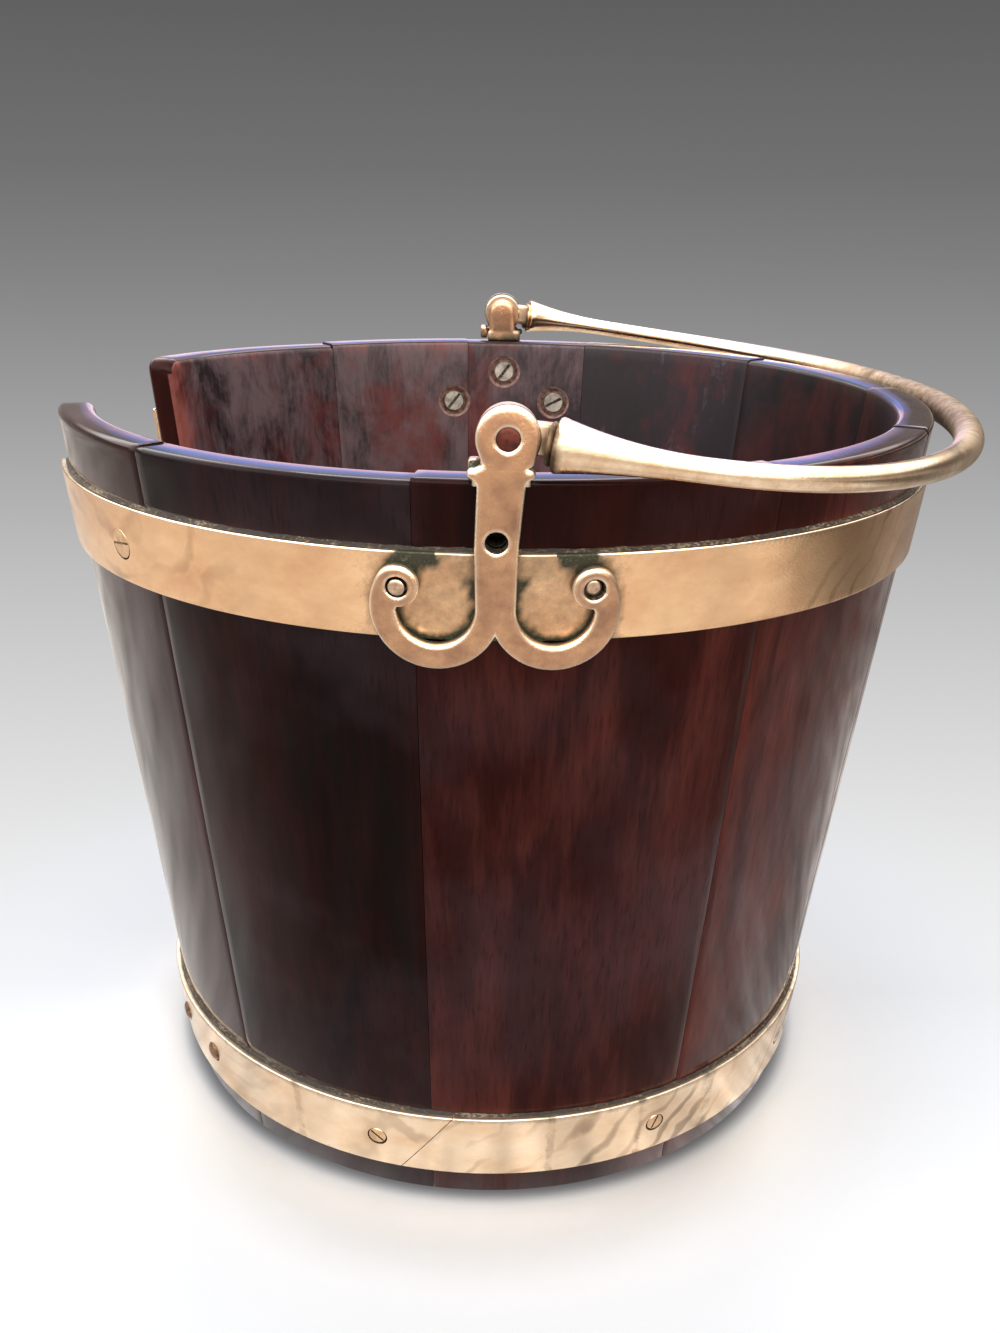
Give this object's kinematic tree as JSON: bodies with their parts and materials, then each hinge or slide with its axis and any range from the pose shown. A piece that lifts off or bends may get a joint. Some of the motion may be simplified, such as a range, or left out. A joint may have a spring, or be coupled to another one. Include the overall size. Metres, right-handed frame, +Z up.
{
  "type": "plate bucket",
  "caption": "Coopered wooden plate bucket with brass hoops, cast scroll lugs, a swinging bail handle and a full-height slot in its side for lifting plates.",
  "frame": {"origin": "centre of the base board's underside, on the bucket's axis; the foot that it stands on is 12 mm lower", "axes": "+Z up along the bucket's axis, +Y from the front lug to the back lug along the handle's pivots, +X towards the side where the lowered handle rests, with the slot in the wall on the -X side"},
  "size_m": [0.3702, 0.3838, 0.3253],
  "materials": {
    "mahogany": "French-polished dark red mahogany, duller inside",
    "hoop_brass": "rolled brass strip, hand polished, with dark grime along its edges",
    "cast_brass": "cast and polished brass with verdigris in its hollows",
    "screw_brass": "aged brass screws, filed flush",
    "nut_metal": "dull grey slotted nuts",
    "pin_copper": "dark copper-coloured pivot pins, flush and polished"
  },
  "bodies": {
    "bucket": {"stave_01": "mahogany", "stave_02": "mahogany", "stave_03": "mahogany", "stave_04": "mahogany", "stave_05": "mahogany", "stave_06": "mahogany", "stave_07": "mahogany", "stave_08": "mahogany", "stave_09": "mahogany", "stave_10": "mahogany", "slot_sill_stave": "mahogany", "base_board": "mahogany", "upper_hoop": "hoop_brass", "lower_hoop": "hoop_brass", "front_lug": "cast_brass", "back_lug": "cast_brass", "front_pivot_pin": "pin_copper", "back_pivot_pin": "pin_copper", "front_lug_bolt_top": "cast_brass", "front_lug_bolt_left": "cast_brass", "front_lug_bolt_right": "cast_brass", "back_lug_bolt_top": "cast_brass", "back_lug_bolt_left": "cast_brass", "back_lug_bolt_right": "cast_brass", "front_lug_nut_top": "nut_metal", "front_lug_nut_left": "nut_metal", "front_lug_nut_right": "nut_metal", "back_lug_nut_top": "nut_metal", "back_lug_nut_left": "nut_metal", "back_lug_nut_right": "nut_metal", "upper_hoop_screw_01": "screw_brass", "upper_hoop_screw_02": "screw_brass", "lower_hoop_screw_01": "screw_brass", "lower_hoop_screw_02": "screw_brass", "lower_hoop_screw_03": "screw_brass", "lower_hoop_screw_04": "screw_brass", "lower_hoop_screw_05": "screw_brass", "lower_hoop_screw_06": "screw_brass", "lower_hoop_screw_07": "screw_brass", "lower_hoop_screw_08": "screw_brass", "lower_hoop_screw_09": "screw_brass", "lower_hoop_screw_10": "screw_brass"},
    "bail": {"handle": "cast_brass"}
  },
  "joints": [
    {"name": "handle_swing", "type": "hinge", "parent": "bucket", "child": "bail", "pos_m": [0.003, 0, 0.3035], "axis": [0, -1, 0], "range_deg": [0, 189]}
  ]
}
